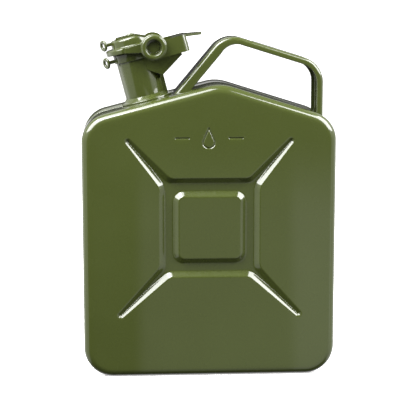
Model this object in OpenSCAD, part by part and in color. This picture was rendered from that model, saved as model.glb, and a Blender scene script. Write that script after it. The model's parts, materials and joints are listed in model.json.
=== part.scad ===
// Five-litre pressed-steel fuel can with a strap handle and a hinged cam-lever cap.
// +X runs across the can towards the handle's upright leg, the front face looks along -Y
// and the origin is the middle of the base, on the surface that the can stands on.

/* [Can body] */
// Width of the can, side to side
can_w = 240; // [230:1:250]
// Depth of the can, front face to rear face
can_d = 96; // [92:1:110]
// Height of the shoulder's peak before it is rounded
peak_h = 280; // [276:1:284]
// Height at which the shoulders meet the sides
shoulder_h = 246; // [243:1:249]
// Distance of the peak from the middle of the can
peak_x = 10.8; // [8:0.1:14]
// Radius of the four outer corners
corner_r = 28; // [24:1:32]
// Radius over the peak
peak_r = 40; // [30:1:50]
// Radius pressed round the edge of each face
edge_r = 8; // [6:0.5:10]
// Thickness of the pressed steel
wall = 1; // [0.8:0.1:1.2]

/* [Seam gutter] */
// Width of the gutter that holds the welded seam
gutter_w = 8; // [6:0.5:10]
// Depth of the gutter below the rims
gutter_depth = 4.5; // [3.5:0.5:6]
// How far the seam's lip stays below the rims
lip_drop = 1; // [0.5:0.5:2]

/* [Pressed cross] */
// Height of the cross's middle
cross_z = 144.4; // [140:0.2:150]
// Half width of the square channel's outer edge
ring_outer = 47; // [43:0.5:48]
// Half width of the square channel's inner edge
ring_inner = 30; // [28:0.1:32]
// Depth of the channels
cross_depth = 4; // [2:0.5:5]
// Distance of the upper arm tips from the middle
upper_tip_x = 76; // [70:1:80]
// Height of the upper arm tips
upper_tip_z = 226; // [215:1:228]
// Distance of the lower arm tips from the middle
lower_tip_x = 84; // [75:1:86]
// Height of the lower arm tips
lower_tip_z = 61; // [58:1:75]
// Width of an arm where it leaves the square
arm_root_w = 15; // [12:0.5:16]
// Width of an arm at its tip
arm_tip_w = 7; // [5:0.5:9]

/* [Handle] */
// Width of the channel strap, front to rear
handle_w = 44; // [36:1:48]
// Height of the bend above the left leg, before it is rounded
handle_top = 326.2; // [322:0.2:332]
// Distance of that bend from the middle of the can
handle_bend_x = 16.2; // [14:0.2:18]
// Angle of the left leg from level
leg_angle = 50; // [47:1:54]
// Distance of the upright leg's outer face from the middle of the can
handle_right_x = 110; // [108:0.5:112]
// Outside radius of both bends
bend_r = 25; // [20:1:28]
// Thickness of the strap
strap_t = 2; // [1.5:0.1:2.5]
// Depth of the strap's flanges along the grip and the upright leg
flange_h = 6.3; // [5:0.1:8]
// Depth of the strap's flanges along the left leg
leg_flange_h = 9.6; // [8:0.1:11]

/* [Neck] */
// Distance of the neck's foot from the middle of the can, to the left
neck_x = 57.5; // [55:0.5:60]
// Outside radius of the neck
neck_r = 19.5; // [18.5:0.1:20]
// Thickness of the neck's tube
neck_t = 1.6; // [1.2:0.1:2]
// Height of the mouth above the shoulder
mouth_h = 48.5; // [47:0.5:48.5]
// Height of the collar round the mouth
collar_h = 8.5; // [6:0.5:10]
// Outside radius of the foot ring
foot_r = 25; // [23:0.5:26]

/* [Cap and lever] */
// Radius of the cap's rim
cap_r = 26.6; // [25:0.1:27]
// Radius of the cap's dome
dome_r = 20; // [18:0.5:20.5]
// Distance of the hinge pin from the neck's axis
hinge_u = 40; // [39:0.5:40.5]
// Height of the hinge pin above the shoulder
hinge_v = 42; // [41:0.5:42.5]
// Distance of the lever's trunnions from the neck's axis
lever_u = 18.7; // [18:0.1:20]
// Height of the lever's trunnions above the shoulder
lever_v = 47.7; // [47:0.1:48.5]
// Radius of the lever's trunnions
trunnion_r = 5.4; // [4.5:0.1:5.6]
// Radius of the hinge pin
hinge_pin_r = 2.5; // [2:0.1:2.6]
// Outside radius of the lever's bearing collars
bearing_r = 11.6; // [10.5:0.1:12]
// Radial gap between a pin and a part that turns on it
turn_gap = 0.05; // [0.03:0.01:0.1]

/* [Hidden] */

olive = [0.35, 0.39, 0.20];
bare_steel = [0.55, 0.56, 0.52];
rubber = [0.05, 0.05, 0.05];

$fn = 64;
hull_fn = 32;
past = 0.5;                 // how far a cutting shape runs past the face that it cuts
clear = 0.3;                // gap between parts of different bodies that never touch
half_w = can_w / 2;
half_d = can_d / 2;
left_slope = atan((peak_h - shoulder_h) / (half_w + peak_x));
right_slope = atan((peak_h - shoulder_h) / (half_w - peak_x));
outline_corners = [[-half_w, 0], [half_w, 0], [half_w, shoulder_h], [peak_x, peak_h],
                   [-half_w, shoulder_h]];
outline_radii = [corner_r, corner_r, corner_r, peak_r, corner_r];

// Handle: left bend, right bend and the two feet, which start inside the can
rise_dir = [cos(leg_angle), sin(leg_angle)];
grip_dir = [cos(right_slope), -sin(right_slope)];
left_bend = [handle_bend_x, handle_top];
right_bend = [handle_right_x, handle_top - (handle_right_x - handle_bend_x) * tan(right_slope)];
left_leg_length = 90;
right_leg_length = 70;

// Neck frame: u runs up the left shoulder, v along the neck's axis
neck_foot_z = shoulder_h + (half_w - neck_x) * tan(left_slope);
neck_sunk = 7;
bracket_t = 2.3;
bracket_y = neck_r - 3.5;   // inner face of each bracket cheek
bracket_top = hinge_v + 6;
gusset_low = 20;            // where the gusset's lower edge leaves the neck
strip_half_w = 8;           // half width of the strip that carries the gusset down to the foot
strip_t = 1.6;
collar_r = neck_r + 1.5;
vent_r = 4;
vent_u = neck_r - neck_t - vent_r;
vent_wall = 0.8;
vent_sunk = 34;
vent_top = 44;
arm_t = 2.4;
arm_y = cap_r - arm_t;      // inner face of each cap arm, against the pan's flat side
rim_v = 48.8;               // lower edge of the cap's rim
rim_h = 5.4;
dome_top = 62.5;
pan_t = 1.8;
crown_top = 64;
fall_u = 3.5;               // where the dome's top starts to fall towards the hinge
fall_slope = 0.45;
crown_end_u = 16.5;
rivet_r = 2;
gasket_hole_r = 14;
seal_low = rim_v - 0.9;
crown_half_w = 12;
plate_t = 2.5;              // thickness of the lever's plate and tab
lever_cheek_y = cap_r + clear;
lever_t = 2;
lever_low = 36.3;
lever_high = 49.5;
lever_end_u = 50.7;
notch_r = 18;               // reach of the notch in the lever's plate round the trunnions
corner_turn = 6;            // radius of the lever's end corners
tab_length = 17;
tab_drop = 9;               // angle that the thumb tab falls below the plate
bearing_out = 8;            // how far a bearing collar stands out from its cheek
bearing_recess = 5;
bearing_cup_r = 7.2;
eye_r = 5.4;
eye_hole_r = 2.4;
eye_t = 2.4;
eye_turn = 33;              // angle that each eye is turned towards the front

// A polygon's corner, rounded with radius r: the points of the arc from one side to the next
function unit(a) = a / norm(a);
function arc_at(before, at, after, r, steps = 10) =
    let (into = unit(at - before), out = unit(after - at),
         turn = atan2(into[0] * out[1] - into[1] * out[0], into * out),
         reach = r * tan(abs(turn) / 2),
         start = at - into * reach,
         side = sign(turn) * [-into[1], into[0]],
         centre = start + side * r)
    [for (i = [0 : steps])
        let (a = turn * i / steps) centre + [
            cos(a) * (start - centre)[0] - sin(a) * (start - centre)[1],
            sin(a) * (start - centre)[0] + cos(a) * (start - centre)[1]]];
function rounded(corners, radii) =
    let (n = len(corners))
    [for (i = [0 : n - 1])
        each arc_at(corners[(i + n - 1) % n], corners[i], corners[(i + 1) % n], radii[i])];

// Turn a flat drawing in X and Z into a slab from y0 to y1
module slab(y0, y1) {
    translate([0, y1, 0]) rotate([90, 0, 0]) linear_extrude(y1 - y0) children();
}

module outline(inset = 0) {
    offset(delta = -inset) polygon(rounded(outline_corners, outline_radii));
}

// The outer form of one half of the can, or with a skin the form of its hollow
module half_form(skin = 0) {
    rim_r = edge_r - skin;
    hull() {
        slab(-half_d + edge_r, -gutter_w / 2 - skin) outline(skin);
        for (a = [30, 60, 90])
            slab(-half_d + edge_r - rim_r * sin(a), -half_d + edge_r)
                outline(skin + rim_r * (1 - cos(a)));
    }
    slab(-gutter_w / 2 - skin - past, 0) outline(gutter_depth + skin);
}

module arm(tip) {
    root = [sign(tip[0]) * (ring_outer - arm_root_w / 2),
            cross_z + sign(tip[1] - cross_z) * (ring_outer - arm_root_w / 2)];
    hull() {
        translate(root) circle(d = arm_root_w, $fn = hull_fn);
        translate(tip) circle(d = arm_tip_w, $fn = hull_fn);
    }
}

// Plan of the pressed channels: a square ring with four arms
module cross_plan() {
    difference() {
        translate([0, cross_z]) square(2 * ring_outer, center = true);
        translate([0, cross_z]) square(2 * ring_inner, center = true);
    }
    for (side = [-1, 1]) {
        arm([side * upper_tip_x, upper_tip_z]);
        arm([side * lower_tip_x, lower_tip_z]);
    }
}

// The channels as a solid on the front face, in two steps of falling width
module cross(skin = 0) {
    slab(-half_d - past, -half_d + cross_depth / 2 + skin) offset(delta = skin) cross_plan();
    slab(-half_d - past, -half_d + cross_depth + skin)
        offset(delta = skin - cross_depth / 2) cross_plan();
}

module neck_frame() {
    translate([-neck_x, 0, neck_foot_z]) rotate([0, -left_slope, 0]) children();
}

module shell() {
    color(olive) difference() {
        union() {
            half_form();
            slab(-wall, 0) outline(lip_drop);
        }
        difference() {
            half_form(wall);
            cross(wall);
        }
        slab(-gutter_w / 2 - wall, past) outline(gutter_depth + wall);
        cross();
        neck_frame() translate([0, 0, -3 * neck_sunk]) cylinder(r = neck_r, h = 6 * neck_sunk);
    }
}

module front_shell() { shell(); }

module rear_shell() { mirror([0, 1, 0]) shell(); }

// Where two sides of the strap's outline cross after each is moved inwards
function moved_corner(at, dir_a, dir_b, in_a, in_b) =
    let (na = [dir_a[1], -dir_a[0]], nb = [dir_b[1], -dir_b[0]],
         det = na[0] * nb[1] - na[1] * nb[0])
    at + [in_a * nb[1] - in_b * na[1], in_b * na[0] - in_a * nb[0]] / det;

// The strap's side view inside the outline moved in by leg_in and grip_in
module strap_outline(leg_in, grip_in) {
    a = moved_corner(left_bend, rise_dir, grip_dir, leg_in, grip_in);
    b = moved_corner(right_bend, grip_dir, [0, -1], grip_in, grip_in);
    polygon(concat([b - [0, right_leg_length], a - rise_dir * left_leg_length],
                   arc_at(a - rise_dir, a, b, bend_r - grip_in),
                   arc_at(a, b, b - [0, 1], bend_r - grip_in)));
}

// A channel-section strap: a broad web outside, with a flange turned in along each edge
module handle() {
    color(olive) difference() {
        slab(-handle_w / 2, handle_w / 2) difference() {
            strap_outline(0, 0);
            strap_outline(leg_flange_h, flange_h);
            outline();
        }
        slab(-handle_w / 2 + strap_t, handle_w / 2 - strap_t) strap_outline(strap_t, strap_t);
    }
}

module tube(r_out, r_in, low, high) {
    translate([0, 0, low]) difference() {
        cylinder(r = r_out, h = high - low);
        translate([0, 0, -past]) cylinder(r = r_in, h = high - low + 2 * past);
    }
}

module neck() {
    color(olive) neck_frame() tube(neck_r, neck_r - neck_t, -neck_sunk, mouth_h);
}

module neck_collar() {
    color(olive) neck_frame() tube(collar_r, neck_r, mouth_h - collar_h, mouth_h);
}

module foot_ring() {
    color(olive) neck_frame() tube(foot_r, neck_r, 0, neck_t);
}

// Air tube beside the bore, open above the can's fill level
module vent_tube() {
    color(bare_steel) neck_frame() translate([vent_u, 0, 0])
        tube(vent_r, vent_r - vent_wall, -vent_sunk, vent_top);
}

// A flat plate in the neck frame, drawn in u and v, from y0 to y1
module cheek(y0, y1) { neck_frame() slab(y0, y1) children(); }

module cross_hole(u, v, r) {
    neck_frame() translate([u, 0, v]) rotate([90, 0, 0]) cylinder(r = r, h = can_d, center = true);
}

module bracket_side() {
    polygon([[neck_r / 4, gusset_low + 10], [neck_r + 1, gusset_low], [hinge_u + 3, hinge_v - 8],
             [hinge_u, bracket_top], [neck_r / 4, bracket_top]]);
    translate([hinge_u, hinge_v]) circle(r = bracket_top - hinge_v);
}

module hinge_bracket() {
    color(olive) difference() {
        union() {
            for (side = [-1, 1])
                cheek(side > 0 ? bracket_y : -bracket_y - bracket_t,
                      side > 0 ? bracket_y + bracket_t : -bracket_y) bracket_side();
            // Web between the cheeks, along their lower edge
            cheek(-bracket_y - past, bracket_y + past)
                polygon([[neck_r - 2, gusset_low - bracket_t], [neck_r + 1, gusset_low],
                         [hinge_u + 1, hinge_v - 9], [hinge_u + 1, hinge_v - 9 + bracket_t],
                         [neck_r - 2, gusset_low + 1]]);
            cheek(-strip_half_w, strip_half_w)
                polygon([[neck_r - 2, neck_t], [neck_r + strip_t, neck_t],
                         [neck_r + strip_t, gusset_low], [neck_r - 2, gusset_low]]);
        }
        neck_frame() translate([0, 0, -neck_sunk]) cylinder(r = neck_r, h = 2 * mouth_h);
        neck_frame() translate([0, 0, mouth_h - collar_h])
            cylinder(r = collar_r, h = mouth_h);
        cross_hole(hinge_u, hinge_v, hinge_pin_r);
    }
}

module hinge_pin() {
    color(bare_steel) neck_frame() translate([hinge_u, 0, hinge_v]) rotate([90, 0, 0])
        cylinder(r = hinge_pin_r, h = 2 * cap_r, center = true);
}

// A round eye on a short post, turned about the neck's axis
module eye(u, v, post_from) {
    neck_frame() difference() {
        union() {
            translate([u, -3, v]) rotate([0, 0, eye_turn]) rotate([0, 90, 0])
                cylinder(r = eye_r, h = eye_t, center = true);
            translate([u, -4.2, v - 1.5]) cube([post_from - u, 2.4, 3]);
        }
        translate([u, -3, v]) rotate([0, 0, eye_turn]) rotate([0, 90, 0])
            cylinder(r = eye_hole_r, h = 3 * eye_t, center = true);
    }
}

module neck_eye() {
    color(olive) difference() {
        eye(-28.6, mouth_h - 5.5, -neck_r);
        neck_frame() cylinder(r = collar_r, h = mouth_h);
    }
}

module cap_eye() {
    color(olive) difference() {
        eye(-27, dome_top - 2.8, -dome_r + 1);
        neck_frame() cylinder(r = dome_r, h = 2 * mouth_h);
    }
}

// Everything above the falling part of the dome's top, moved down by drop
module above_fall(drop = 0) {
    reach = cap_r + past;
    top = dome_top - drop;
    cheek(-reach, reach)
        polygon([[fall_u, top], [reach, top - fall_slope * (reach - fall_u)],
                 [reach, top + reach], [fall_u, top + reach]]);
}

// The cap's outer form: rim and dome, from half of its section
module pan_form() {
    rim_top = rim_v + rim_h;
    difference() {
        neck_frame() rotate_extrude()
            polygon([[0, rim_v], [cap_r - pan_t, rim_v], [cap_r, rim_v + 1], [cap_r, rim_top - 1.5],
                     [cap_r - 1.5, rim_top], [dome_r, rim_top], [dome_r, dome_top - 3],
                     [dome_r - 3, dome_top], [0, dome_top]]);
        above_fall();
    }
}

module pan_hollow() {
    rim_top = rim_v + rim_h;
    difference() {
        neck_frame() rotate_extrude()
            polygon([[0, rim_v - past], [cap_r - pan_t, rim_v - past], [cap_r - pan_t, rim_top - pan_t],
                     [dome_r - pan_t, rim_top - pan_t], [dome_r - pan_t, dome_top - 3.6],
                     [dome_r - 3.4, dome_top - pan_t], [0, dome_top - pan_t]]);
        above_fall(pan_t);
    }
}

// The pan's two sides are flattened where the arms are welded on
module cap_pan() {
    color(olive) difference() {
        intersection() {
            pan_form();
            neck_frame() translate([0, 0, dome_top / 2])
                cube([3 * cap_r, 2 * arm_y, 2 * dome_top], center = true);
        }
        pan_hollow();
        rivet_hole();
    }
}

module rivet_hole() {
    neck_frame() translate([0, 0, rim_v - 2]) cylinder(r = rivet_r, h = crown_top);
}

// Pressed plate on top of the dome
module crown_plate() {
    fallen = fall_slope * (crown_end_u - fall_u);
    color(olive) difference() {
        cheek(-crown_half_w, crown_half_w)
            polygon([[-15, dome_top], [fall_u, dome_top], [crown_end_u, dome_top - fallen],
                     [crown_end_u + 0.6, crown_top - fallen - 0.6], [crown_end_u, crown_top - fallen],
                     [fall_u, crown_top], [-14, crown_top]]);
        rivet_hole();
    }
}

// Side arm from the pan's flat side round a trunnion and down to the hinge pin
module cap_arm_plan() {
    bar = 4.4;
    along = unit([hinge_u - lever_u, hinge_v - lever_v]);
    across = bar * [-along[1], along[0]];
    polygon([[lever_u, lever_v] + across, [lever_u, lever_v] - across,
             [hinge_u, hinge_v] - across, [hinge_u, hinge_v] + across]);
    polygon([[-9, rim_v], [lever_u, lever_v - trunnion_r], [lever_u, rim_v + rim_h],
             [-8, rim_v + rim_h - 0.6]]);
    translate([lever_u, lever_v]) circle(r = trunnion_r + 2.4);
    translate([hinge_u, hinge_v]) circle(r = hinge_pin_r + 2.4);
}

module cap_arm(side) {
    color(olive) difference() {
        cheek(side > 0 ? arm_y : -cap_r, side > 0 ? cap_r : -arm_y) cap_arm_plan();
        cross_hole(lever_u, lever_v, trunnion_r);
        cross_hole(hinge_u, hinge_v, hinge_pin_r + turn_gap);
    }
}

module front_cap_arm() { cap_arm(-1); }

module rear_cap_arm() { cap_arm(1); }

module gasket() {
    color(rubber) neck_frame() tube(collar_r, gasket_hole_r, rim_v, rim_v + rim_h - pan_t);
}

// Flanged hub that holds the gasket up against the pan
module seal_plate() {
    color(bare_steel) difference() {
        neck_frame() translate([0, 0, seal_low]) {
            cylinder(r = gasket_hole_r + 1.8, h = rim_v - seal_low);
            cylinder(r = 5, h = dome_top - pan_t - seal_low);
        }
        above_fall(pan_t);
        rivet_hole();
    }
}

module cap_rivet() {
    head_r = 3.4;
    head_h = 1.2;
    color(olive) neck_frame() {
        translate([0, 0, seal_low - head_h]) cylinder(r = head_r, h = head_h);
        translate([0, 0, seal_low]) cylinder(r = rivet_r, h = crown_top - seal_low);
        translate([0, 0, crown_top]) cylinder(r = head_r, h = head_h);
    }
}

// Stub that the lever turns on, from the arm out into the bearing collar
module trunnion(side) {
    length = arm_t + clear + lever_t + bearing_out - bearing_recess;
    color(olive) neck_frame() translate([lever_u, side * arm_y, lever_v])
        rotate([-90 * side, 0, 0]) cylinder(r = trunnion_r, h = length);
}

module front_trunnion() { trunnion(-1); }

module rear_trunnion() { trunnion(1); }

// Lever: two cheeks, an end wall, a notched plate between them and a thumb tab
module lever_cheek() {
    polygon([[lever_u, lever_low], [lever_end_u, lever_low], [lever_end_u - 0.6, lever_high],
             [lever_end_u - 0.6, lever_high + plate_t], [lever_u + 5, lever_high + plate_t]]);
    translate([lever_u, lever_v]) circle(r = bearing_r);
}

// The lever seen along the neck's axis
module lever_plate_plan() {
    half = lever_cheek_y + lever_t;
    open_end = [for (side = [-1, 1]) [lever_u, side * half]];
    corners = [for (side = [-1, 1]) [lever_end_u, side * half]];
    polygon(concat([open_end[0]], arc_at(open_end[0], corners[0], corners[1], corner_turn, 6),
                   arc_at(corners[0], corners[1], open_end[1], corner_turn, 6), [open_end[1]]));
}

module lever() {
    half = lever_cheek_y + lever_t;
    straight_u = lever_end_u - corner_turn;
    color(olive) difference() {
        union() {
            for (side = [-1, 1])
                cheek(side > 0 ? half - lever_t : -half, side > 0 ? half : -half + lever_t)
                    intersection() {
                        lever_cheek();
                        square([straight_u, 2 * lever_high]);
                    }
            // Walls that turn in from the cheeks to the end, under the plate
            neck_frame() translate([0, 0, lever_low]) linear_extrude(lever_high - lever_low)
                difference() {
                    lever_plate_plan();
                    offset(delta = -lever_t) lever_plate_plan();
                    translate([0, -half]) square([straight_u, 2 * half]);
                }
            neck_frame() translate([0, 0, lever_high]) linear_extrude(plate_t) difference() {
                lever_plate_plan();
                translate([0, -half]) square([lever_u + notch_r, 2 * half]);
            }
            neck_frame() translate([lever_end_u - 1.5, 0, lever_high]) rotate([0, tab_drop, 0])
                linear_extrude(plate_t)
                    polygon([[0, -19], [tab_length - 6, -14], [tab_length, -9],
                             [tab_length, 9], [tab_length - 6, 14], [0, 19]]);
        }
        cross_hole(lever_u, lever_v, trunnion_r + turn_gap);
    }
}

module bearing(side) {
    face = lever_cheek_y + lever_t;
    color(olive) neck_frame() translate([lever_u, side * face, lever_v]) rotate([-90 * side, 0, 0])
        difference() {
            union() {
                cylinder(r = bearing_r + 0.8, h = 1.5);
                cylinder(r = bearing_r, h = bearing_out);
            }
            translate([0, 0, -past]) cylinder(r = trunnion_r + turn_gap, h = 2 * bearing_out);
            translate([0, 0, bearing_out - bearing_recess])
                cylinder(r = bearing_cup_r, h = bearing_out);
        }
}

module front_bearing() { bearing(-1); }

module rear_bearing() { bearing(1); }

front_shell();
rear_shell();
handle();
neck();
neck_collar();
foot_ring();
vent_tube();
hinge_bracket();
hinge_pin();
neck_eye();
cap_pan();
crown_plate();
front_cap_arm();
rear_cap_arm();
gasket();
seal_plate();
cap_rivet();
cap_eye();
front_trunnion();
rear_trunnion();
lever();
front_bearing();
rear_bearing();
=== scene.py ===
"""Looks of a five-litre pressed-steel fuel can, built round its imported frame.

The can stands on its base at the origin, with its front face towards -Y.
Meshes are drawn in millimetres and placed in the frame, in metres, when a piece is finished.
"""

import json
import math

import bmesh
import bpy
import numpy as np
from mathutils import Matrix, Vector
from mathutils.geometry import delaunay_2d_cdt


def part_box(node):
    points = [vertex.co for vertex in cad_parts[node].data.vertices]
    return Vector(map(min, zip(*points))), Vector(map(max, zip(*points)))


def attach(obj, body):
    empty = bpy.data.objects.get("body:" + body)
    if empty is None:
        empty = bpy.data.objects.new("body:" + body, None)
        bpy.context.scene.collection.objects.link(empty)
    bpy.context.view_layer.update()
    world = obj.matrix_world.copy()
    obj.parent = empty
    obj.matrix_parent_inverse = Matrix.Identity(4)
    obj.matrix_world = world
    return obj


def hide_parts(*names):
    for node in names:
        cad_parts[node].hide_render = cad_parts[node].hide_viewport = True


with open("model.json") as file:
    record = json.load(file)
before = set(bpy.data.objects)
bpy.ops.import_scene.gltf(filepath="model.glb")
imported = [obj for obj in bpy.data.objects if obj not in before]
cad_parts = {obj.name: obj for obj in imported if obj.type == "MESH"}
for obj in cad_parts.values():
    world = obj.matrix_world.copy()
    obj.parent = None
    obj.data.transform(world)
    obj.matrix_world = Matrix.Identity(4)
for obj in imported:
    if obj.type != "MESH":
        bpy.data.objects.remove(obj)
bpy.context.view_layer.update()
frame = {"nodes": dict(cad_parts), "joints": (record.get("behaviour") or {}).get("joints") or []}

# ---------------------------------------------------------------------------
# The view: a long lens a little left of the can and above its middle, turned
# a few degrees to the right and down.
camera_at = (-0.07987, -1.348, 0.37162)
camera_down = math.radians(9.0834)
camera_right = math.radians(3.4381)
sensor = 36.0
lens = 121.2

camera = bpy.data.objects.new("camera", bpy.data.cameras.new("camera"))
bpy.context.scene.collection.objects.link(camera)
camera.location = camera_at
camera.rotation_euler = (math.pi / 2 - camera_down, 0, -camera_right)
camera.data.sensor_width = sensor
camera.data.lens = lens
camera.data.clip_start = 0.05
camera.data.clip_end = 30
bpy.context.scene.camera = camera

# ---------------------------------------------------------------------------
# Olive enamel: a stoved gloss paint over the whole can, closure and handle.
# It lies smooth, with a faint orange peel and a slow wave from the pressing.
enamel_deep = (0.0315, 0.0400, 0.0085, 1)
enamel_light = (0.0345, 0.0440, 0.0100, 1)
enamel_cloud_scale = 9.0
enamel_roughness, enamel_gloss_scale = (0.24, 0.3), 60
enamel_base_gloss = 0.15
coat_roughness = 0.022
peel_scale, peel_height = 620.0, 0.00002
wave_scale, wave_height = 14.0, 0.0006
texture_low, texture_high = 0.35, 0.65


def noise(tree, place, scale, detail):
    """A noise texture on the piece's own coordinates."""
    node = tree.nodes.new("ShaderNodeTexNoise")
    node.inputs["Scale"].default_value = scale
    node.inputs["Detail"].default_value = detail
    tree.links.new(place.outputs["Object"], node.inputs["Vector"])
    return node


def spread(tree, source, low, high):
    """A texture's middle values, stretched from low to high."""
    node = tree.nodes.new("ShaderNodeMapRange")
    for name, value in (("From Min", texture_low), ("From Max", texture_high),
                        ("To Min", low), ("To Max", high)):
        node.inputs[name].default_value = value
    tree.links.new(source.outputs["Fac"], node.inputs["Value"])
    return node


def blended(tree, factor, first, second):
    """One colour turning into another with a factor."""
    node = tree.nodes.new("ShaderNodeMix")
    node.data_type = "RGBA"
    node.inputs["A"].default_value = first
    node.inputs["B"].default_value = second
    tree.links.new(factor.outputs["Result"], node.inputs["Factor"])
    return node


def relief(tree, source, height, below=None):
    """A bump from a texture, on top of another bump."""
    node = tree.nodes.new("ShaderNodeBump")
    node.inputs["Strength"].default_value = 1.0
    node.inputs["Distance"].default_value = height
    tree.links.new(source.outputs["Fac"], node.inputs["Height"])
    if below:
        tree.links.new(below.outputs["Normal"], node.inputs["Normal"])
    return node


def new_material(name):
    """An empty material, its tree, its shader and its object coordinates."""
    material = bpy.data.materials.new(name)
    material.use_nodes = True
    tree = material.node_tree
    return material, tree, tree.nodes["Principled BSDF"], tree.nodes.new("ShaderNodeTexCoord")


def olive_enamel():
    material, tree, shader, place = new_material("olive_enamel")
    cloud = spread(tree, noise(tree, place, enamel_cloud_scale, 4), 0, 1)
    colour = blended(tree, cloud, enamel_deep, enamel_light)
    tree.links.new(colour.outputs["Result"], shader.inputs["Base Color"])
    gloss = spread(tree, noise(tree, place, enamel_gloss_scale, 3), *enamel_roughness)
    tree.links.new(gloss.outputs["Result"], shader.inputs["Roughness"])
    wave = relief(tree, noise(tree, place, wave_scale, 1), wave_height)
    peel = relief(tree, noise(tree, place, peel_scale, 2), peel_height, wave)
    tree.links.new(peel.outputs["Normal"], shader.inputs["Normal"])
    shader.inputs["Specular IOR Level"].default_value = enamel_base_gloss
    shader.inputs["Coat Weight"].default_value = 1.0
    shader.inputs["Coat Roughness"].default_value = coat_roughness
    return material


enamel = olive_enamel()

# ---------------------------------------------------------------------------
# Body shells: each half is one sheet of 1 mm steel, pressed with a rounded edge
# and a square channel with four arms, and turned in round its rim to a gutter
# with a lip that meets the other half's.
MM = 0.001
can_place = Matrix.Scale(MM, 4)
shell_low, shell_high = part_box("front_shell")
half_w = shell_high.x / MM
half_d = -shell_low.y / MM
peak_x, peak_z = 10.8, 280
shoulder_z = 246
corner_radius, peak_radius = 28, 40
edge_radius = 8
sheet = 1.0
gutter_half, gutter_floor = 4.0, 4.5
lip_drop = 1.0
face_inset = 12

cross_z = 144.4
ring_outer, ring_inner = 47.2, 29.6
ring_corner = 5.5
channel_depth = 4.2
channel_wall, channel_lip, wall_ease = 5.8, 0.5, 0.14
arm_roots = 38.5
arm_root_r, arm_tip_r, arm_blend = 7.0, 2.8, 3.0
upper_tip, lower_tip = (76.5, 226.5), (84.5, 60.5)

dash_z = 229.2
dashes = ((-32, -19.5), (18.5, 31))
drop_centre, drop_tip = (-0.8, 225.6), (-0.8, 238)
drop_radius = 5.6
mark_depth, mark_half = 0.8, 1.2

net_fine, net_coarse, net_mark = 0.72, 6.0, 0.5
net_outside, net_inside = 1.6, -7.2


def bend(before, at, after, radius, steps):
    """Points of the arc that rounds the corner `at`, from its first side to its second."""
    into, out = (at - before).normalized(), (after - at).normalized()
    turn = math.atan2(into.x * out.y - into.y * out.x, into.dot(out))
    reach = radius * math.tan(abs(turn) / 2)
    start = at - into * reach
    side = Vector((-into.y, into.x)) * math.copysign(1, turn)
    centre = start + side * radius
    return [centre + Matrix.Rotation(turn * i / steps, 2) @ (start - centre) for i in range(steps + 1)]


def can_outline(inset, arc_steps=16, side_steps=14):
    """The can's outline in X and Z, moved in by inset, with the same number of points each time."""
    corners = [Vector(c) for c in ((-half_w, 0), (half_w, 0), (half_w, shoulder_z), (peak_x, peak_z),
                                   (-half_w, shoulder_z))]
    radii = [corner_radius, corner_radius, corner_radius, peak_radius, corner_radius]
    moved = []
    for i, at in enumerate(corners):
        into, out = (at - corners[i - 1]).normalized(), (corners[(i + 1) % 5] - at).normalized()
        normal_in, normal_out = Vector((into.y, -into.x)), Vector((out.y, -out.x))
        moved.append(at - (normal_in + normal_out) / (1 + normal_in.dot(normal_out)) * inset)
    points = []
    for i, at in enumerate(moved):
        arc = bend(moved[i - 1], at, moved[(i + 1) % 5], radii[i] - inset, arc_steps)
        if points:
            points += [points[-1].lerp(arc[0], k / side_steps) for k in range(1, side_steps)]
        points += arc
    return points + [points[-1].lerp(points[0], k / side_steps) for k in range(1, side_steps)]


def rim_profile():
    """Inset and Y of the sheet's outer side, from the lip through the gutter to the face."""
    turns = [(lip_drop, -sheet), (gutter_floor, -sheet), (gutter_floor, -gutter_half),
             (0, -gutter_half), (0, -half_d), (face_inset, -half_d)]
    radii = [0, 0.9, 0.9, 1.6, edge_radius, 0]
    steps = [0, 3, 3, 5, 12, 0]
    turns = [Vector(t) for t in turns]
    profile = [turns[0]]
    for i in range(1, len(turns) - 1):
        profile += bend(turns[i - 1], turns[i], turns[i + 1], radii[i], steps[i])
    return profile + [turns[-1]]


def square_distance(x, z, half, corner):
    """Distance outside a square round the cross's middle, with rounded corners."""
    dx, dz = np.abs(x) - half + corner, np.abs(z - cross_z) - half + corner
    outside = np.hypot(np.maximum(dx, 0), np.maximum(dz, 0))
    return outside + np.minimum(np.maximum(dx, dz), 0) - corner


def taper_distance(x, z, root, tip, root_r, tip_r):
    """Distance outside a round-ended bar that tapers from its root to its tip."""
    ax, az = tip[0] - root[0], tip[1] - root[1]
    along = np.clip(((x - root[0]) * ax + (z - root[1]) * az) / (ax * ax + az * az), 0, 1)
    reach = np.hypot(x - root[0] - along * ax, z - root[1] - along * az)
    return reach - root_r - along * (tip_r - root_r)


def smooth_least(a, b, soft):
    """The lesser of two distances, with the crease between them filled."""
    share = np.clip(0.5 + 0.5 * (b - a) / soft, 0, 1)
    return b + (a - b) * share - soft * share * (1 - share)


def cross_distance(x, z):
    """Distance outside the channels: negative inside them."""
    found = np.maximum(square_distance(x, z, ring_outer, ring_corner),
                       -square_distance(x, z, ring_inner, ring_corner))
    for side in (-1, 1):
        for tip, up in ((upper_tip, 1), (lower_tip, -1)):
            root = (side * arm_roots, cross_z + up * arm_roots)
            arm = taper_distance(x, z, root, (side * tip[0], tip[1]), arm_root_r, arm_tip_r)
            found = smooth_least(found, arm, arm_blend)
    return found


def mark_distance(x, z):
    """Distance from the pressed lines of the mark: a plain drop between two dashes."""
    drop = np.abs(taper_distance(x, z, drop_centre, drop_tip, drop_radius, 0.3))
    for left, right in dashes:
        drop = np.minimum(drop, np.hypot(x - np.clip(x, left, right), z - dash_z))
    return drop


def flat_ramp(share, ease):
    """A straight rise from 0 to 1 with both its ends eased."""
    t = np.clip(share, 0, 1)
    low, high = t * t / (2 * ease), 1 - ease - (1 - t) ** 2 / (2 * ease)
    return np.where(t < ease, low, np.where(t > 1 - ease, high, t - ease / 2)) / (1 - ease)


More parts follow.
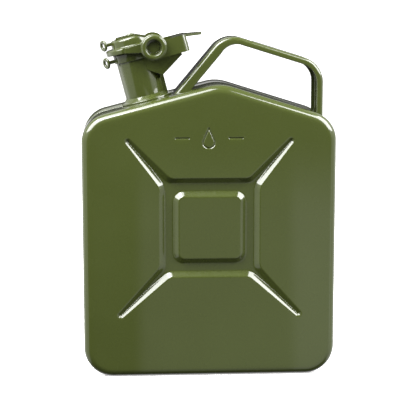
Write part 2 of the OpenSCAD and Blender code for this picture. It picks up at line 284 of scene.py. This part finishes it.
def press_depth(x, z, marked):
    """How deep the face is pressed in at a point."""
    share = (channel_lip - cross_distance(x, z)) / channel_wall
    depth = channel_depth * flat_ramp(share, wall_ease)
    if marked:
        line = np.clip(1 - mark_distance(x, z) / mark_half, 0, 1)
        depth += mark_depth * line * line * (3 - 2 * line)
    return depth


def lattice(step, keep):
    """Points of a triangular lattice over the face, where keep says so."""
    rows = np.arange(0, peak_z, step * 0.866)
    points = []
    for i, z in enumerate(rows):
        x = np.arange(-half_w + (i % 2) * step / 2, half_w, step)
        wanted = keep(x, np.full_like(x, z))
        points += [(px, z) for px in x[wanted]]
    return points


def inside(x, z, ring, margin):
    """Whether points lie inside a convex ring of points by a margin."""
    found = np.ones_like(x, bool)
    for a, b in zip(ring, ring[1:] + ring[:1]):
        d = (b - a).normalized()
        found &= d.x * (z - a.y) - d.y * (x - a.x) > margin
    return found


def pressed_sheet(marked):
    """The outer side of the front sheet: rim rings, then a fine net over the face."""
    bm = bmesh.new()
    rings = [[bm.verts.new((p.x, y, p.y)) for p in can_outline(inset)] for inset, y in rim_profile()]
    for a, b in zip(rings, rings[1:]):
        for i in range(len(a)):
            bm.faces.new((a[i - 1], a[i], b[i], b[i - 1]))
    edge = can_outline(face_inset)

    def near_channel(x, z):
        d = cross_distance(x, z)
        return inside(x, z, edge, 1.5) & (d < net_outside) & (d > net_inside)

    def near_mark(x, z):
        return mark_distance(x, z) < 1.8

    def elsewhere(x, z):
        d = cross_distance(x, z)
        plain = (d > 3) | (d < -9)
        if marked:
            plain &= mark_distance(x, z) > 3
        return inside(x, z, edge, 3) & plain

    net = lattice(net_fine, near_channel) + lattice(net_coarse, elsewhere)
    if marked:
        net += lattice(net_mark, near_mark)
    flat = list(edge) + [Vector(p) for p in net]
    count = len(edge)
    border = [(i, (i + 1) % count) for i in range(count)]
    points, _, faces, *_ = delaunay_2d_cdt(flat, border, [], 1, 1e-5)
    x, z = np.array([p.x for p in points]), np.array([p.y for p in points])
    depth = press_depth(x, z, marked)
    verts = [bm.verts.new((px, -half_d + d, pz)) for px, pz, d in zip(x, z, depth)]
    for face in faces:
        bm.faces.new([verts[i] for i in face])
    bmesh.ops.remove_doubles(bm, verts=bm.verts, dist=0.001)
    bmesh.ops.recalc_face_normals(bm, faces=bm.faces)
    if sum(f.normal.y * f.calc_area() for f in bm.faces) > 0:
        bmesh.ops.reverse_faces(bm, faces=bm.faces)
    return bm


def new_object(name, bm, placed=can_place):
    """An object from a mesh in millimetres, with its place in its mesh."""
    bm.transform(placed)
    mesh = bpy.data.meshes.new(name)
    bm.to_mesh(mesh)
    bm.free()
    made = bpy.data.objects.new(name, mesh)
    bpy.context.scene.collection.objects.link(made)
    return made


def apply_modifiers(piece):
    """Turn a piece with its modifiers into a plain mesh."""
    bpy.context.view_layer.update()
    done = bpy.data.meshes.new_from_object(piece.evaluated_get(bpy.context.evaluated_depsgraph_get()))
    piece.modifiers.clear()
    piece.data = done


def finish_piece(piece, material, body, slot, *nodes, crease=38):
    """Paint a piece, let it ride on its body and let it stand for its CAD nodes."""
    piece.data.materials.clear()
    piece.data.materials.append(material)
    piece.data.polygons.foreach_set("use_smooth", [True] * len(piece.data.polygons))
    piece.data.set_sharp_from_angle(angle=math.radians(crease))
    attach(piece, body)
    if nodes:
        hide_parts(*nodes)
    return piece


# The neck's own frame, from the two joints: u up the left shoulder, y to the rear, v along the neck
hinge_u, hinge_v = 40, 42
lever_u, lever_v = 18.7, 47.7
joint_at = {j["name"]: Vector(j["pos_m"]) for j in frame["joints"]}
to_lever = joint_at["lever_pivot"] - joint_at["cap_hinge"]
tilt = math.atan2(to_lever.z, to_lever.x) - math.atan2(lever_v - hinge_v, lever_u - hinge_u)
tilt = math.remainder(tilt, math.tau)
neck_turn = Matrix.Rotation(-tilt, 4, "Y")
neck_foot = joint_at["cap_hinge"] - neck_turn @ Vector((hinge_u, 0, hinge_v)) * MM
neck_place = Matrix.Translation(neck_foot) @ neck_turn @ can_place
neck_radius, hole_ease, hole_reach = 19.5, 0.2, 20


def revolved(profile, segments=72):
    """A solid turned about the upright axis, from points of radius and height."""
    bored = profile[0][0] > 1e-6
    bm = bmesh.new()
    rings = []
    for s in range(segments):
        a = math.tau * s / segments
        rings.append([bm.verts.new((p[0] * math.cos(a), p[0] * math.sin(a), p[1])) for p in profile])
    for s in range(segments):
        a, b = rings[s - 1], rings[s]
        for i in range(0 if bored else 1, len(profile)):
            bm.faces.new((a[i - 1], a[i], b[i], b[i - 1]))
    bmesh.ops.remove_doubles(bm, verts=bm.verts, dist=1e-4)
    bmesh.ops.dissolve_degenerate(bm, edges=bm.edges, dist=1e-4)
    bmesh.ops.recalc_face_normals(bm, faces=bm.faces)
    return bm


def cut_with(piece, cutter):
    """Cut a solid out of a piece, and remove the cutter."""
    step = piece.modifiers.new("cut", "BOOLEAN")
    step.operation = "DIFFERENCE"
    step.solver = "EXACT"
    step.object = cutter
    apply_modifiers(piece)
    bpy.data.objects.remove(cutter)


def shell_piece(name, marked, rear):
    """One half of the can, with its thickness and half of the hole for the neck."""
    bm = pressed_sheet(marked)
    if rear:
        bm.transform(Matrix.Scale(-1, 4, (0, 1, 0)))
        bmesh.ops.reverse_faces(bm, faces=bm.faces)
    piece = new_object(name, bm)
    thick = piece.modifiers.new("thickness", "SOLIDIFY")
    thick.thickness = sheet * MM
    thick.offset = -1
    apply_modifiers(piece)
    hole_radius = neck_radius - hole_ease
    hole = revolved([(0, -hole_reach), (hole_radius, -hole_reach),
                     (hole_radius, hole_reach), (0, hole_reach)])
    cut_with(piece, new_object("neck_hole", hole, neck_place))
    finish_piece(piece, enamel, "can", "enamel", "rear_shell" if rear else "front_shell", crease=60)


shell_piece("front_shell_pressing", True, False)
shell_piece("rear_shell_pressing", False, True)

# ---------------------------------------------------------------------------
# Handle: a broad steel strap, rolled to a channel with its edges turned down,
# bent over a slanted leg, a sloping grip and an upright leg, and welded on.
strap_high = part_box("handle")[1]
strap_half = strap_high.y / MM
strap_right = strap_high.x / MM
strap_steel = 2.0
strap_corner = 3.6
leg_angle = math.radians(50)
left_bend = Vector((16.2, 326.2))
bend_radius = 25
leg_flange, grip_flange = 9.6, 6.3
leg_length, right_foot_z = 78, 247
bend_steps = 20
grip_slope = math.atan((peak_z - shoulder_z) / (half_w - peak_x))
right_bend = Vector((strap_right, left_bend.y - (strap_right - left_bend.x) * math.tan(grip_slope)))
left_foot = left_bend - leg_length * Vector((math.cos(leg_angle), math.sin(leg_angle)))
right_foot = Vector((strap_right, right_foot_z))


def eased(corners, radius, steps=4):
    """A closed line's corners, each rounded with the radius, or with its own where it names one."""
    points = []
    for i, corner in enumerate(corners):
        r = corner[2] if len(corner) > 2 else radius
        before, after = Vector(corners[i - 1][:2]), Vector(corners[(i + 1) % len(corners)][:2])
        if r == 0:
            points.append(Vector(corner[:2]))
        else:
            points += bend(before, Vector(corner[:2]), after, r, steps)
    return points


def strap_section(flange):
    """The channel's section: Y, and the distance in from the outer side."""
    wide, narrow = strap_half, strap_half - strap_steel
    return eased([(-wide, 0, strap_corner), (wide, 0, strap_corner), (wide, flange, 0.8),
                  (narrow, flange, 0.8), (narrow, strap_steel, strap_corner - strap_steel),
                  (-narrow, strap_steel, strap_corner - strap_steel), (-narrow, flange, 0.8),
                  (-wide, flange, 0.8)], 0, 6)


def swept(rings):
    """A closed solid through rings of points, with a face on each end."""
    bm = bmesh.new()
    loops = [[bm.verts.new(p) for p in ring] for ring in rings]
    for a, b in zip(loops, loops[1:]):
        for i in range(len(a)):
            bm.faces.new((a[i - 1], a[i], b[i], b[i - 1]))
    bm.faces.new(loops[0])
    bm.faces.new(loops[-1])
    bmesh.ops.recalc_face_normals(bm, faces=bm.faces)
    return bm


def strap_handle():
    path = [left_foot, left_foot.lerp(left_bend, 0.5)]
    first = bend(left_foot, left_bend, right_bend, bend_radius, bend_steps)
    second = bend(left_bend, right_bend, right_foot, bend_radius, bend_steps)
    path += first + [first[-1].lerp(second[0], 0.5)] + second + [right_foot]
    rings = []
    for i, at in enumerate(path):
        before, after = path[max(i - 1, 0)], path[min(i + 1, len(path) - 1)]
        along = ((at - before).normalized() + (after - at).normalized()).normalized()
        inward = Vector((along.y, -along.x))
        turned = min(max((i - 2) / bend_steps, 0), 1)
        flange = leg_flange + (grip_flange - leg_flange) * turned
        ring = []
        for across, depth in strap_section(flange):
            point = at + inward * depth
            ring.append((point.x, across, point.y))
        rings.append(ring)
    return swept(rings)


finish_piece(new_object("strap_handle", strap_handle()), enamel, "can", "enamel", "handle", crease=45)

# ---------------------------------------------------------------------------
# Neck: a drawn tube welded through the shoulder with a foot ring, with a
# collar rolled round its mouth and a thin air tube down one side of its bore.
neck_bore = 17.9
mouth_v = 48.5
collar_radius, collar_v = 21.0, 40.0
foot_radius = 25.0
vent_u, vent_radius, vent_bore = 13.9, 4.0, 3.2


def shaped(name, corners, radius, material, body, slot, *nodes, place=neck_place, segments=72):
    """A turned piece from the corners of its half section."""
    solid = revolved(eased(corners, radius, 3), segments)
    return finish_piece(new_object(name, solid, place), material, body, slot, *nodes)


steel_light, steel_dark = (0.56, 0.57, 0.55, 1), (0.38, 0.39, 0.37, 1)
spangle_scale, scratch_scale, steel_roughness = 300, 900, (0.28, 0.5)
steel_bump_scale, steel_bump = 1500, 0.00002


def zinc_steel():
    """Bare zinc-coated steel, with cloudy spangles and fine scratches."""
    material, tree, shader, place = new_material("zinc_steel")
    cloud = spread(tree, noise(tree, place, spangle_scale, 5), 0, 1)
    colour = blended(tree, cloud, steel_dark, steel_light)
    tree.links.new(colour.outputs["Result"], shader.inputs["Base Color"])
    rough = spread(tree, noise(tree, place, scratch_scale, 2), *steel_roughness)
    tree.links.new(rough.outputs["Result"], shader.inputs["Roughness"])
    bump = relief(tree, noise(tree, place, steel_bump_scale, 2), steel_bump)
    tree.links.new(bump.outputs["Normal"], shader.inputs["Normal"])
    shader.inputs["Metallic"].default_value = 1.0
    return material


bare_zinc = zinc_steel()
shaped("neck_tube", [(neck_bore, -7), (neck_radius, -7), (neck_radius, mouth_v), (neck_bore, mouth_v)],
       0.6, enamel, "can", "enamel", "neck")
shaped("mouth_collar", [(neck_radius, collar_v, 0.2), (collar_radius, collar_v, 0.7),
                        (collar_radius, mouth_v, 1.1), (neck_radius, mouth_v, 0.2)],
       0.2, enamel, "can", "enamel", "neck_collar")
shaped("neck_foot_ring", [(neck_radius, 0, 0), (foot_radius, 0, 0.3), (foot_radius, 1.6, 0.8),
                          (22.4, 2.0, 2.2), (neck_radius, 5.0, 0)],
       0, enamel, "can", "enamel", "foot_ring")
shaped("air_tube", [(vent_bore, -34), (vent_radius, -34), (vent_radius, 44), (vent_bore, 44)],
       0.25, bare_zinc, "can", "bare_steel", "vent_tube", segments=36,
       place=neck_place @ Matrix.Translation((vent_u, 0, 0)))

# ---------------------------------------------------------------------------
# Hinge bracket, cap arms, crown plate and lever: sheet steel, cut, folded and
# eased along every edge before it was painted.


def eased_copy(name, node, width, body):
    """A CAD plate with its flat faces joined up and its edges rounded."""
    bm = bmesh.new()
    bm.from_mesh(frame["nodes"][node].data)
    bmesh.ops.remove_doubles(bm, verts=bm.verts, dist=1e-6)
    bmesh.ops.dissolve_limit(bm, angle_limit=math.radians(0.5), verts=bm.verts, edges=bm.edges)
    piece = new_object(name, bm, Matrix.Identity(4))
    edge = piece.modifiers.new("eased_edges", "BEVEL")
    edge.width = width * MM
    edge.segments = 3
    edge.limit_method = "ANGLE"
    edge.angle_limit = math.radians(28)
    edge.harden_normals = False
    apply_modifiers(piece)
    finish_piece(piece, enamel, body, "enamel", node, crease=50)
    normals = piece.modifiers.new("flat_faces", "WEIGHTED_NORMAL")
    normals.keep_sharp = True
    return piece


eased_copy("gusset_bracket", "hinge_bracket", 0.6, "can")
eased_copy("front_arm", "front_cap_arm", 0.5, "cap")
eased_copy("rear_arm", "rear_cap_arm", 0.5, "cap")
eased_copy("crown_pressing", "crown_plate", 0.6, "cap")
eased_copy("cam_lever", "lever", 1.2, "lever")

# ---------------------------------------------------------------------------
# Cap: a dished pressing over the mouth, with a domed rivet through its crown
# plate, a rubber gasket and the zinc-coated hub that holds the gasket up.
cap_radius, cap_flat = 26.6, 24.2
rim_v, rim_top = 48.8, 54.2
dome_radius, dome_v = 20.0, 62.5
crown_v = 64.0
fall_u, fall_slope = 3.5, 0.45
hub_radius = 5.0
rubber_black, rubber_dusty = (0.012, 0.012, 0.012, 1), (0.03, 0.029, 0.027, 1)
rubber_roughness, grain_height = (0.6, 0.85), 0.00005


def gasket_rubber():
    """Matt black rubber with a dusting in its grain."""
    material, tree, shader, place = new_material("gasket_rubber")
    dust = spread(tree, noise(tree, place, 120, 5), 0, 1)
    colour = blended(tree, dust, rubber_black, rubber_dusty)
    tree.links.new(colour.outputs["Result"], shader.inputs["Base Color"])
    rough = spread(tree, noise(tree, place, 400, 3), *rubber_roughness)
    tree.links.new(rough.outputs["Result"], shader.inputs["Roughness"])
    grain = relief(tree, noise(tree, place, 1300, 3), grain_height)
    tree.links.new(grain.outputs["Normal"], shader.inputs["Normal"])
    return material


def above_fall(drop):
    """A cutter for everything above the part of the dome that falls towards the hinge."""
    reach, top = cap_radius + 1, dome_v - drop
    side = [(fall_u, top), (reach, top - fall_slope * (reach - fall_u)),
            (reach, top + reach), (fall_u, top + reach)]
    wedge = swept([[(u, y, v) for u, v in side] for y in (-reach, reach)])
    return new_object("above_fall", wedge, neck_place)


def cap_pressing():
    """The pan: skirt, rim and dome, hollowed out, with a flat pressed on each side."""
    wall, hole = 1.8, 2.1
    form = [(0, rim_v, 0), (cap_radius, rim_v, 0.8), (cap_radius, rim_top, 2.0),
            (dome_radius, rim_top, 0.9), (dome_radius, dome_v, 3.2), (0, dome_v, 0)]
    hollow = [(0, rim_v - 1, 0), (cap_radius - wall, rim_v - 1, 0), (cap_radius - wall, rim_top - wall, 0.8),
              (dome_radius - wall, rim_top - wall, 0.5), (dome_radius - wall, dome_v - wall, 1.6),
              (0, dome_v - wall, 0)]
    piece = new_object("cap_pressing", revolved(eased(form, 0, 5), 96), neck_place)
    inner = new_object("cap_hollow", revolved(eased(hollow, 0, 5), 96), neck_place)
    cut_with(piece, above_fall(0))
    cut_with(inner, above_fall(wall))
    cut_with(piece, inner)
    rod = revolved([(0, rim_v), (hole, rim_v), (hole, dome_v + 5), (0, dome_v + 5)], 32)
    cut_with(piece, new_object("rivet_hole", rod, neck_place))
    for side in (-1, 1):
        bm = bmesh.new()
        bmesh.ops.create_cube(bm, size=1, matrix=Matrix.Translation((0, side * (cap_flat + 10), 55))
                              @ Matrix.Diagonal((60, 20, 30, 1)))
        cut_with(piece, new_object("cap_flat", bm, neck_place))
    return piece


finish_piece(cap_pressing(), enamel, "cap", "enamel", "cap_pan")
shaped("mouth_gasket", [(14, rim_v), (21, rim_v), (21, rim_top - 1.8), (14, rim_top - 1.8)],
       0.5, gasket_rubber(), "cap", "seal_rubber", "gasket")
shaped("gasket_hub", [(2, rim_v - 0.9, 0), (15.8, rim_v - 0.9, 0.3), (15.8, rim_v, 0.3),
                      (hub_radius, rim_v, 0.4), (hub_radius, dome_v - 1.8, 0), (2, dome_v - 1.8, 0)],
       0, bare_zinc, "cap", "bare_steel", "seal_plate")


def rivet_profile():
    """Half section of the rivet, with a domed head at each end."""
    shank, head, rise = 1.98, 3.4, 1.2
    low, high = rim_v - 0.9, crown_v
    dome = [(math.sin(a) * head, math.cos(a) * rise) for a in np.linspace(0, math.pi / 2, 7)]
    return ([(r, low - h) for r, h in dome] + [(shank, low), (shank, high)]
            + [(r, high + h) for r, h in reversed(dome)])


finish_piece(new_object("crown_rivet", revolved(rivet_profile(), 32), neck_place),
             enamel, "cap", "enamel", "cap_rivet")

# ---------------------------------------------------------------------------
# Locking eyes: two forged rings on short stalks, one on the collar and one on
# the cap, where a lock or a seal wire goes through both.
eye_radius, eye_hole, eye_half = 5.4, 2.4, 1.2
eye_turn = math.radians(33)
eye_y = -3.0
stalk_half_w, stalk_half_h, stalk_ease = 1.3, 1.7, 0.9


def locking_eye(name, node, body, u, v, stalk_to):
    """A round-edged ring on a stalk that runs in to the can or the cap."""
    corners = [(eye_hole, -eye_half, 0.8), (eye_radius, -eye_half, 1.1), (eye_radius, eye_half, 1.1),
               (eye_hole, eye_half, 0.8)]
    bm = revolved(eased(corners, 0, 5), 40)
    bm.transform(Matrix.Translation((u, eye_y, v)) @ Matrix.Rotation(eye_turn, 4, "Z")
                 @ Matrix.Rotation(math.pi / 2, 4, "Y"))
    section = eased([(-stalk_half_w, -stalk_half_h), (stalk_half_w, -stalk_half_h),
                     (stalk_half_w, stalk_half_h), (-stalk_half_w, stalk_half_h)], stalk_ease)
    stalk = swept([[(x, eye_y + p.x, v + p.y) for p in section] for x in (u + eye_hole, stalk_to)])
    stalk_mesh = bpy.data.meshes.new("stalk")
    stalk.to_mesh(stalk_mesh)
    stalk.free()
    bm.from_mesh(stalk_mesh)
    bpy.data.meshes.remove(stalk_mesh)
    return finish_piece(new_object(name, bm, neck_place), enamel, body, "enamel", node)


locking_eye("collar_eye", "neck_eye", "can", -28.6, mouth_v - 5.5, -collar_radius + 0.5)
locking_eye("crown_eye", "cap_eye", "cap", -27, dome_v - 2.8, -dome_radius + 0.5)

# ---------------------------------------------------------------------------
# Lever bearings, trunnions and hinge pin: turned steel. Each bearing is a
# round-lipped cup on the lever's cheek, with the trunnion's end on its floor.
cheek_out = 28.9
bearing_radius, bearing_out, bearing_floor = 11.6, 8.0, 3.0
cup_radius, trunnion_radius = 7.2, 5.4
bearing_bore = trunnion_radius + 0.05
stub_inner = -4.7
pin_radius = 2.5


def cross_place(side, u, v, y):
    """The neck's frame, turned so that a turned piece's axis points out to one side."""
    return (neck_place @ Matrix.Translation((u, side * y, v))
            @ Matrix.Rotation(-side * math.pi / 2, 4, "X"))


for side, end in ((-1, "front"), (1, "rear")):
    outward = cross_place(side, lever_u, lever_v, cheek_out)
    shaped(f"{end}_bearing_cup", [(bearing_bore, 0, 0), (bearing_radius + 0.8, 0, 0),
                                  (bearing_radius + 0.8, 1.5, 0.7), (bearing_radius, 1.6, 0.3),
                                  (bearing_radius, bearing_out, 1.7), (cup_radius, bearing_out, 1.4),
                                  (cup_radius, bearing_floor, 0.5), (bearing_bore, bearing_floor, 0.2)],
           0, enamel, "lever", "enamel", f"{end}_bearing", place=outward)
    pin_corners = [(0, stub_inner), (trunnion_radius, stub_inner), (trunnion_radius, bearing_floor - 0.5),
                   (trunnion_radius - 0.5, bearing_floor), (0, bearing_floor)]
    finish_piece(new_object(f"{end}_trunnion_stub", revolved(pin_corners, 48), outward),
                 enamel, "cap", "enamel", f"{end}_trunnion")

pin_half, pin_ease = cap_radius, 0.4
pin_line = [(0, -pin_half), (pin_radius - pin_ease, -pin_half), (pin_radius, -pin_half + pin_ease),
            (pin_radius, pin_half - pin_ease), (pin_radius - pin_ease, pin_half), (0, pin_half)]
finish_piece(new_object("hinge_rod", revolved(pin_line, 40), cross_place(1, hinge_u, hinge_v, 0)),
             bare_zinc, "can", "bare_steel", "hinge_pin")

# ---------------------------------------------------------------------------
# Seam weld: a roller weld run along the two lips, with one low nugget after
# another, made as points along the seam's line.
nugget_step = 0.0016
nugget_size = (0.9, 1.15, 0.42)
seam_inset = lip_drop + 0.1


def weld_tree():
    """Nuggets spaced along a line, each turned along it."""
    tree = bpy.data.node_groups.new("weld_run", "GeometryNodeTree")
    for name, kind in (("Geometry", "NodeSocketGeometry"), ("Spacing", "NodeSocketFloat"),
                       ("Paint", "NodeSocketMaterial")):
        tree.interface.new_socket(name, in_out="INPUT", socket_type=kind)
    tree.interface.new_socket("Geometry", in_out="OUTPUT", socket_type="NodeSocketGeometry")
    group_in, group_out = tree.nodes.new("NodeGroupInput"), tree.nodes.new("NodeGroupOutput")
    line = tree.nodes.new("GeometryNodeMeshToCurve")
    spaced = tree.nodes.new("GeometryNodeCurveToPoints")
    spaced.mode = "LENGTH"
    nugget = tree.nodes.new("GeometryNodeMeshIcoSphere")
    nugget.inputs["Radius"].default_value = MM
    nugget.inputs["Subdivisions"].default_value = 2
    placed = tree.nodes.new("GeometryNodeInstanceOnPoints")
    placed.inputs["Scale"].default_value = nugget_size
    real = tree.nodes.new("GeometryNodeRealizeInstances")
    smooth = tree.nodes.new("GeometryNodeSetShadeSmooth")
    paint = tree.nodes.new("GeometryNodeSetMaterial")
    join = tree.links.new
    join(group_in.outputs["Geometry"], line.inputs["Mesh"])
    join(line.outputs["Curve"], spaced.inputs["Curve"])
    join(group_in.outputs["Spacing"], spaced.inputs["Length"])
    join(spaced.outputs["Points"], placed.inputs["Points"])
    join(spaced.outputs["Rotation"], placed.inputs["Rotation"])
    join(nugget.outputs["Mesh"], placed.inputs["Instance"])
    join(placed.outputs["Instances"], real.inputs["Geometry"])
    join(real.outputs["Geometry"], smooth.inputs["Geometry"])
    join(smooth.outputs["Geometry"], paint.inputs["Geometry"])
    join(group_in.outputs["Paint"], paint.inputs["Material"])
    join(paint.outputs["Geometry"], group_out.inputs["Geometry"])
    return tree


def weld_run(name, points):
    """A run of weld nuggets along points in millimetres."""
    bm = bmesh.new()
    verts = [bm.verts.new(p) for p in points]
    for a, b in zip(verts, verts[1:]):
        bm.edges.new((a, b))
    run = new_object(name, bm)
    step = run.modifiers.new("nuggets", "NODES")
    tree = weld_tree()
    sockets = {s.name: s.identifier for s in tree.interface.items_tree if s.in_out == "INPUT"}
    step.node_group = tree
    step[sockets["Spacing"]] = nugget_step
    step[sockets["Paint"]] = enamel
    apply_modifiers(run)
    return finish_piece(run, enamel, "can", "enamel")


def clear_of_fittings(p):
    """Whether the seam is bare at a point: not under the neck's foot or a handle foot."""
    near_neck = (Vector((p.x, 0, p.y)) * MM - neck_foot).length < (foot_radius + 1) * MM
    under_strap = p.y > 240 and (-34 < p.x < -20 or 100 < p.x < 113)
    return not near_neck and not under_strap


seam = can_outline(seam_inset, 24, 30)
bare = [clear_of_fittings(p) for p in seam]
start = next(i for i in range(len(seam)) if bare[i] and not bare[i - 1])
runs, current = [], []
for i in range(len(seam)):
    k = (start + i) % len(seam)
    if bare[k]:
        current.append((seam[k].x, 0, seam[k].y))
    elif current:
        runs.append(current)
        current = []
if current:
    runs.append(current)
for i, run in enumerate(runs):
    if len(run) > 1:
        weld_run(f"seam_weld_{i + 1}", run)

# ---------------------------------------------------------------------------
# Studio: a white floor, a large soft box at each side and a smaller one overhead. The
# backdrop is white to the eye and mostly dark in reflections, as in a black-lined
# studio, apart from a bright wall behind the can and dim panels beside and before it.
floor_tone, floor_glow = 0.92, 0.35
floor_half = 8
box_aim = Vector((0, 0, 0.15))
left_box = {"distance": 1.6, "size": 1.25, "power": 76, "rise": math.radians(43), "front": math.radians(27)}
right_box = {"distance": 1.6, "size": 1.25, "power": 76, "rise": math.radians(38), "front": math.radians(22)}
top_box = {"distance": 1.6, "size": 0.9, "power": 34, "rise": math.radians(63), "front": math.radians(38)}
front_reflected, wall_reflected, side_reflected = 0.05, 0.9, 1.1
panel_left, panel_right = (0.004, 0.5), (0.113, 0.5)
light_below, light_behind = 0.25, 2.2
wall_foot, floor_edge, wall_side = (0.09, 0.22), (-0.02, -0.08), (0.1, 0.5)
side_edge, panel_top, panel_side, panel_soft = (0.68, 0.76), (-0.1, -0.17), (-0.5, -0.6), 0.012
horizon_soft, rear_soft = (-0.3, 0.1), (0.0, 0.6)


def studio_floor():
    """A white floor that only the camera sees, so that it takes the can's shadow."""
    bm = bmesh.new()
    bmesh.ops.create_grid(bm, x_segments=1, y_segments=1, size=floor_half)
    floor = new_object("floor", bm, Matrix.Identity(4))
    material, tree, shader, place = new_material("floor_white")
    tone = spread(tree, noise(tree, place, 2, 2), floor_tone, floor_tone * 1.03)
    tree.links.new(tone.outputs["Result"], shader.inputs["Base Color"])
    shader.inputs["Roughness"].default_value = 0.3
    shader.inputs["Emission Color"].default_value = (1, 1, 1, 1)
    shader.inputs["Emission Strength"].default_value = floor_glow
    floor.data.materials.append(material)
    floor.visible_glossy = False
    floor.visible_diffuse = False


def soft_box(name, side, box_at):
    """A square area light, high at one side and a little in front, that faces the can."""
    light = bpy.data.lights.new(name, "AREA")
    light.size = box_at["size"]
    light.energy = box_at["power"]
    box = bpy.data.objects.new(name, light)
    bpy.context.scene.collection.objects.link(box)
    level = math.cos(box_at["rise"])
    away = Vector((side * level * math.cos(box_at["front"]), -level * math.sin(box_at["front"]),
                   math.sin(box_at["rise"])))
    box.location = box_aim + away * box_at["distance"]
    box.rotation_euler = away.to_track_quat("Z", "Y").to_euler()


def world_step(tree, source, low, high, reach=1.0):
    """A step from 0 to reach as one coordinate of the direction passes from low to high."""
    node = tree.nodes.new("ShaderNodeMapRange")
    node.interpolation_type = "SMOOTHSTEP"
    node.inputs["From Min"].default_value = low
    node.inputs["From Max"].default_value = high
    node.inputs["To Max"].default_value = reach
    tree.links.new(source, node.inputs["Value"])
    return node.outputs["Result"]


def combined(tree, operation, first, second):
    """A sum or another operation on two values, each a socket or a number."""
    node = tree.nodes.new("ShaderNodeMath")
    node.operation = operation
    for socket, value in zip(node.inputs, (first, second)):
        if isinstance(value, float):
            socket.default_value = value
        else:
            tree.links.new(value, socket)
    return node.outputs["Value"]


def backdrop():
    """A world that is white to the eye, dim from below to matt surfaces and mostly dark in gloss."""
    world = bpy.data.worlds.new("backdrop")
    bpy.context.scene.world = world
    world.use_nodes = True
    tree = world.node_tree
    plain = tree.nodes["Background"]
    plain.inputs["Color"].default_value = (1, 1, 1, 1)
    glossy = tree.nodes.new("ShaderNodeBackground")
    toward = tree.nodes.new("ShaderNodeSeparateXYZ")
    place = tree.nodes.new("ShaderNodeTexCoord")
    tree.links.new(place.outputs["Generated"], toward.inputs["Vector"])
    above = combined(tree, "ADD", world_step(tree, toward.outputs["Z"], *wall_foot),
                     world_step(tree, toward.outputs["Z"], *floor_edge))
    behind = world_step(tree, toward.outputs["Y"], *wall_side, wall_reflected)
    aside = combined(tree, "ABSOLUTE", toward.outputs["X"], 0.0)
    panels = world_step(tree, aside, *side_edge, side_reflected)
    shade = combined(tree, "ADD", combined(tree, "MULTIPLY", above, behind), panels)
    low = combined(tree, "MULTIPLY", world_step(tree, toward.outputs["Z"], *panel_top),
                   world_step(tree, toward.outputs["Y"], *panel_side))
    for edge, strength in (panel_left, panel_right):
        panel = world_step(tree, toward.outputs["X"], edge, edge + panel_soft, strength)
        shade = combined(tree, "ADD", shade, combined(tree, "MULTIPLY", low, panel))
    tree.links.new(combined(tree, "ADD", shade, front_reflected), glossy.inputs["Strength"])
    path = tree.nodes.new("ShaderNodeLightPath")
    upward = world_step(tree, toward.outputs["Z"], *horizon_soft, 1 - light_below)
    rear = world_step(tree, toward.outputs["Y"], *rear_soft, light_behind)
    lit = combined(tree, "ADD", combined(tree, "ADD", upward, light_below), rear)
    tree.links.new(combined(tree, "MAXIMUM", lit, path.outputs["Is Camera Ray"]), plain.inputs["Strength"])
    mixed = tree.nodes.new("ShaderNodeMixShader")
    tree.links.new(path.outputs["Is Glossy Ray"], mixed.inputs["Fac"])
    tree.links.new(plain.outputs["Background"], mixed.inputs[1])
    tree.links.new(glossy.outputs["Background"], mixed.inputs[2])
    tree.links.new(mixed.outputs["Shader"], tree.nodes["World Output"].inputs["Surface"])


studio_floor()
backdrop()
soft_box("left_box", -1, left_box)
soft_box("right_box", 1, right_box)
soft_box("top_box", -1, top_box)
bpy.context.scene.view_settings.view_transform = "Standard"
